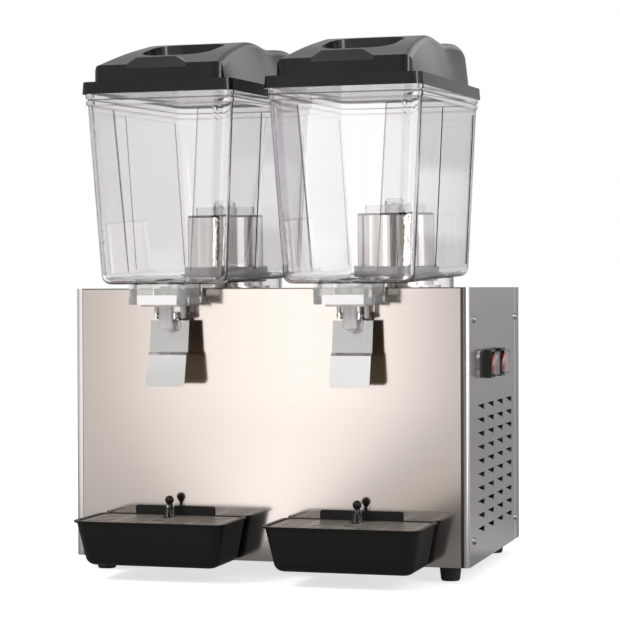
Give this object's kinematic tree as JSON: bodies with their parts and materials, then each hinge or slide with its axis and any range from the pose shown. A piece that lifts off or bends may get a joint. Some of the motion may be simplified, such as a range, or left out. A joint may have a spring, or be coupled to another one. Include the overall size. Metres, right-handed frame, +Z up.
{
  "type": "juice dispenser",
  "caption": "Refrigerated countertop juice dispenser with clear lift-off tanks and black lids over a steel cabinet, sprung push taps, hanging drip trays, side vents and rocker switches",
  "frame": {"origin": "On the standing surface, at the centre of the whole object's footprint, with the trays in front, the switches on the right and the cord gland at the rear counted in", "axes": "+X to the right seen from the front, +Y to the rear, +Z up"},
  "size_m": [0.4456, 0.3782, 0.5724],
  "materials": {
    "front_steel": "satin brushed",
    "side_steel": "satin brushed",
    "zinc_sheet": "plain sheet",
    "polished_steel": "polished",
    "lever_steel": "satin",
    "lid_black": "gloss",
    "tray_black": "fine grain",
    "grate_grey": "satin",
    "clear_plastic": "clear",
    "seal_rubber": "matt",
    "foot_rubber": "matt",
    "switch_black": "satin",
    "rocker_red": "gloss",
    "compressor_black": "paint",
    "coil_aluminium": "plain",
    "motor_steel": "paint",
    "copper": "drawn copper",
    "spring_steel": "drawn wire"
  },
  "bodies": {
    "cabinet": {"front_panel": "front_steel", "left_side_panel": "side_steel", "right_side_panel": "side_steel", "rear_panel": "side_steel", "top_deck": "side_steel", "base_plate": "zinc_sheet", "rubber_feet": "foot_rubber", "side_panel_screws": "lever_steel", "switch_plate": "side_steel", "switch_bodies": "switch_black", "switch_covers": "clear_plastic", "compressor": "compressor_black", "compressor_grommets": "foot_rubber", "condenser": "coil_aluminium", "fan_shroud": "zinc_sheet", "fan_motor": "motor_steel", "fan_motor_bracket": "zinc_sheet", "control_box": "zinc_sheet", "control_box_cover": "zinc_sheet", "power_gland": "tray_black", "refrigerant_pipes": "copper", "left_cooling_drum": "polished_steel", "left_drum_cap": "tray_black", "left_stirrer_motor": "motor_steel", "right_cooling_drum": "polished_steel", "right_drum_cap": "tray_black", "right_stirrer_motor": "motor_steel"},
    "left_tank_unit": {"left_tank": "clear_plastic", "left_tank_seal": "seal_rubber", "left_tap_body": "clear_plastic", "left_tap_nozzle": "clear_plastic", "left_lever_pin": "lever_steel", "left_valve_spring": "spring_steel"},
    "left_lid_unit": {"left_lid": "lid_black"},
    "left_lever": {"left_tap_lever": "lever_steel"},
    "left_plunger": {"left_valve_plunger": "clear_plastic"},
    "left_stirring": {"left_stirrer": "clear_plastic", "left_stirrer_shaft": "lever_steel"},
    "left_tray": {"left_drip_tray": "tray_black"},
    "left_grating": {"left_tray_grate": "grate_grey", "left_float_guide": "clear_plastic"},
    "left_float": {"left_overflow_float": "tray_black"},
    "right_tank_unit": {"right_tank": "clear_plastic", "right_tank_seal": "seal_rubber", "right_tap_body": "clear_plastic", "right_tap_nozzle": "clear_plastic", "right_lever_pin": "lever_steel", "right_valve_spring": "spring_steel"},
    "right_lid_unit": {"right_lid": "lid_black"},
    "right_lever": {"right_tap_lever": "lever_steel"},
    "right_plunger": {"right_valve_plunger": "clear_plastic"},
    "right_stirring": {"right_stirrer": "clear_plastic", "right_stirrer_shaft": "lever_steel"},
    "right_tray": {"right_drip_tray": "tray_black"},
    "right_grating": {"right_tray_grate": "grate_grey", "right_float_guide": "clear_plastic"},
    "right_float": {"right_overflow_float": "tray_black"},
    "fan": {"condenser_fan": "tray_black"},
    "front_switch": {"front_rocker": "rocker_red"},
    "rear_switch": {"rear_rocker": "rocker_red"}
  },
  "joints": [
    {"name": "left_tank_lift", "type": "slide", "parent": "cabinet", "child": "left_tank_unit", "axis": [0, -0.0314, 0.9995], "range_m": [0, 0.12]},
    {"name": "left_lid_lift", "type": "slide", "parent": "left_tank_unit", "child": "left_lid_unit", "axis": [0, -0.0314, 0.9995], "range_m": [0, 0.06]},
    {"name": "left_lever_press", "type": "hinge", "parent": "left_tank_unit", "child": "left_lever", "pos_m": [-0.10485, -0.11989, 0.27363], "axis": [1, 0, 0], "range_deg": [0, 20], "stiffness_Nm_per_rad": 0.6, "springref_deg": -5.73},
    {"name": "left_plunger_drop", "type": "slide", "parent": "left_tank_unit", "child": "left_plunger", "axis": [0, 0.0314, -0.9995], "range_m": [0, 0.0044], "deforming": ["left_valve_spring"]},
    {"name": "left_stirrer_spin", "type": "hinge", "parent": "cabinet", "child": "left_stirring", "pos_m": [-0.10485, 0.05976, 0.39253], "axis": [0, -0.0314, 0.9995], "continuous": true},
    {"name": "left_tray_pull", "type": "slide", "parent": "cabinet", "child": "left_tray", "axis": [0, -1, 0], "range_m": [0, 0.1]},
    {"name": "left_grate_lift", "type": "slide", "parent": "left_tray", "child": "left_grating", "axis": [0, 0, 1], "range_m": [0, 0.03]},
    {"name": "left_float_rise", "type": "slide", "parent": "left_grating", "child": "left_float", "axis": [0, 0, 1], "range_m": [0, 0.012]},
    {"name": "right_tank_lift", "type": "slide", "parent": "cabinet", "child": "right_tank_unit", "axis": [0, -0.0314, 0.9995], "range_m": [0, 0.12]},
    {"name": "right_lid_lift", "type": "slide", "parent": "right_tank_unit", "child": "right_lid_unit", "axis": [0, -0.0314, 0.9995], "range_m": [0, 0.06]},
    {"name": "right_lever_press", "type": "hinge", "parent": "right_tank_unit", "child": "right_lever", "pos_m": [0.09355, -0.11989, 0.27363], "axis": [1, 0, 0], "range_deg": [0, 20], "stiffness_Nm_per_rad": 0.6, "springref_deg": -5.73},
    {"name": "right_plunger_drop", "type": "slide", "parent": "right_tank_unit", "child": "right_plunger", "axis": [0, 0.0314, -0.9995], "range_m": [0, 0.0044], "deforming": ["right_valve_spring"]},
    {"name": "right_stirrer_spin", "type": "hinge", "parent": "cabinet", "child": "right_stirring", "pos_m": [0.09355, 0.05976, 0.39253], "axis": [0, -0.0314, 0.9995], "continuous": true},
    {"name": "right_tray_pull", "type": "slide", "parent": "cabinet", "child": "right_tray", "axis": [0, -1, 0], "range_m": [0, 0.1]},
    {"name": "right_grate_lift", "type": "slide", "parent": "right_tray", "child": "right_grating", "axis": [0, 0, 1], "range_m": [0, 0.03]},
    {"name": "right_float_rise", "type": "slide", "parent": "right_grating", "child": "right_float", "axis": [0, 0, 1], "range_m": [0, 0.012]},
    {"name": "fan_spin", "type": "hinge", "parent": "cabinet", "child": "fan", "pos_m": [0.14435, 0.0411, 0.1], "axis": [1, 0, 0], "continuous": true},
    {"name": "front_switch_press", "type": "hinge", "parent": "cabinet", "child": "front_switch", "pos_m": [0.21485, -0.0144, 0.2216], "axis": [0, -1, 0], "range_deg": [0, 14]},
    {"name": "rear_switch_press", "type": "hinge", "parent": "cabinet", "child": "rear_switch", "pos_m": [0.21485, 0.0406, 0.2216], "axis": [0, -1, 0], "range_deg": [0, 14]}
  ],
  "couplings": [
    {"joint": "left_plunger_drop", "follows": "left_lever_press", "m_per_rad": 0.0125},
    {"joint": "right_plunger_drop", "follows": "right_lever_press", "m_per_rad": 0.0125}
  ]
}
